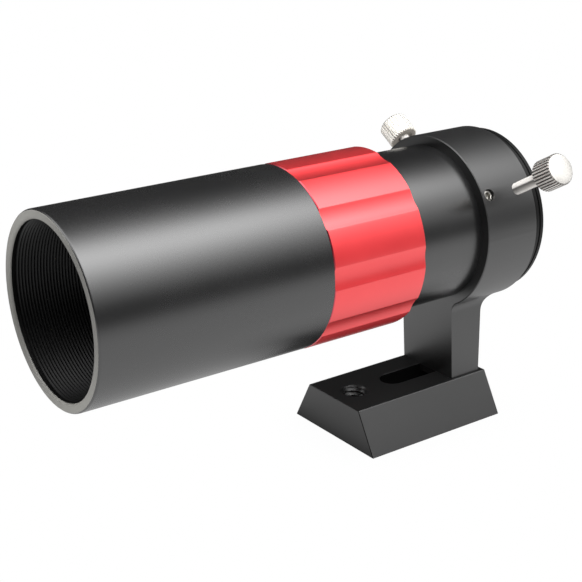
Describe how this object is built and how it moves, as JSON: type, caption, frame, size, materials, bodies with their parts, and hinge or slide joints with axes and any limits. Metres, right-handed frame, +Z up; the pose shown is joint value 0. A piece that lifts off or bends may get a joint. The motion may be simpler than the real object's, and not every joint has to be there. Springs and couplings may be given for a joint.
{
  "type": "finder scope",
  "caption": "Small straight-through finder scope: screw-focus barrel with a fluted lock ring, ring-and-post bracket on a dovetail foot, and an eyepiece holder with clamp screws.",
  "frame": {"origin": "centre of the dovetail foot's underside", "axes": "+Z up; the optical axis runs along Y, 51 mm up, with the objective facing -Y and the eyepiece end facing +Y"},
  "size_m": [0.0648, 0.1243, 0.0731],
  "materials": {
    "blasted_black": "bead-blasted black anodised",
    "satin_black": "satin black anodised",
    "matt_black": "matt black anodised",
    "red_anodised": "satin red anodised",
    "nickel": "bright nickel plate",
    "steel": "plain steel",
    "black_oxide_steel": "black oxide",
    "brass": "plain brass",
    "white_plastic": "low-friction plastic",
    "crown_glass": "coated",
    "flint_glass": "coated"
  },
  "bodies": {
    "tube_and_mount": {"main_tube": "satin_black", "tube_baffle": "matt_black", "mounting_bracket": "blasted_black", "dovetail_foot": "blasted_black", "foot_screw": "black_oxide_steel", "foot_screw_washer": "steel", "tube_set_screws": "steel", "eyepiece_holder": "satin_black", "compression_ring": "brass"},
    "objective": {"objective_crown_lens": "crown_glass", "objective_flint_lens": "flint_glass", "lens_spacer": "brass"},
    "barrel": {"front_barrel": "blasted_black", "objective_cell": "matt_black", "lens_retaining_ring": "matt_black"},
    "washer": {"lock_washer": "white_plastic"},
    "lock_ring": {"lock_ring": "red_anodised"},
    "near_stud": {"near_clamp_screw_stud": "nickel"},
    "near_knob": {"near_clamp_screw_knob": "nickel"},
    "far_stud": {"far_clamp_screw_stud": "nickel"},
    "far_knob": {"far_clamp_screw_knob": "nickel"}
  },
  "joints": [
    {"name": "focus_travel", "type": "slide", "parent": "tube_and_mount", "child": "objective", "axis": [0, -1, 0], "range_m": [-0.00301, 0.00601]},
    {"name": "focus_turn", "type": "hinge", "parent": "objective", "child": "barrel", "pos_m": [0, -0.06, 0.051], "axis": [0, -1, 0], "range_deg": [-1440, 2880]},
    {"name": "lock_ring_travel", "type": "slide", "parent": "barrel", "child": "washer", "axis": [0, 1, 0], "range_m": [-0.00001, 0.00301]},
    {"name": "lock_ring_turn", "type": "hinge", "parent": "washer", "child": "lock_ring", "pos_m": [0, -0.024, 0.051], "axis": [0, 1, 0], "range_deg": [0, 1440]},
    {"name": "near_clamp_travel", "type": "slide", "parent": "tube_and_mount", "child": "near_stud", "axis": [0.8704, 0, 0.4924], "range_m": [-0.004, 0.0005]},
    {"name": "near_clamp_turn", "type": "hinge", "parent": "near_stud", "child": "near_knob", "pos_m": [0, 0.0206, 0.051], "axis": [0.8704, 0, 0.4924], "range_deg": [-2882, 362]},
    {"name": "far_clamp_travel", "type": "slide", "parent": "tube_and_mount", "child": "far_stud", "axis": [-0.8339, 0, 0.5519], "range_m": [0, 0.0045]},
    {"name": "far_clamp_turn", "type": "hinge", "parent": "far_stud", "child": "far_knob", "pos_m": [0, 0.0206, 0.051], "axis": [-0.8339, 0, 0.5519], "range_deg": [-2, 3242]}
  ],
  "couplings": [
    {"joint": "focus_travel", "follows": "focus_turn", "m_per_rad": 0.00011937},
    {"joint": "lock_ring_travel", "follows": "lock_ring_turn", "m_per_rad": 0.00011937},
    {"joint": "near_clamp_turn", "follows": "near_clamp_travel", "rad_per_m": 12566},
    {"joint": "far_clamp_turn", "follows": "far_clamp_travel", "rad_per_m": 12566}
  ]
}
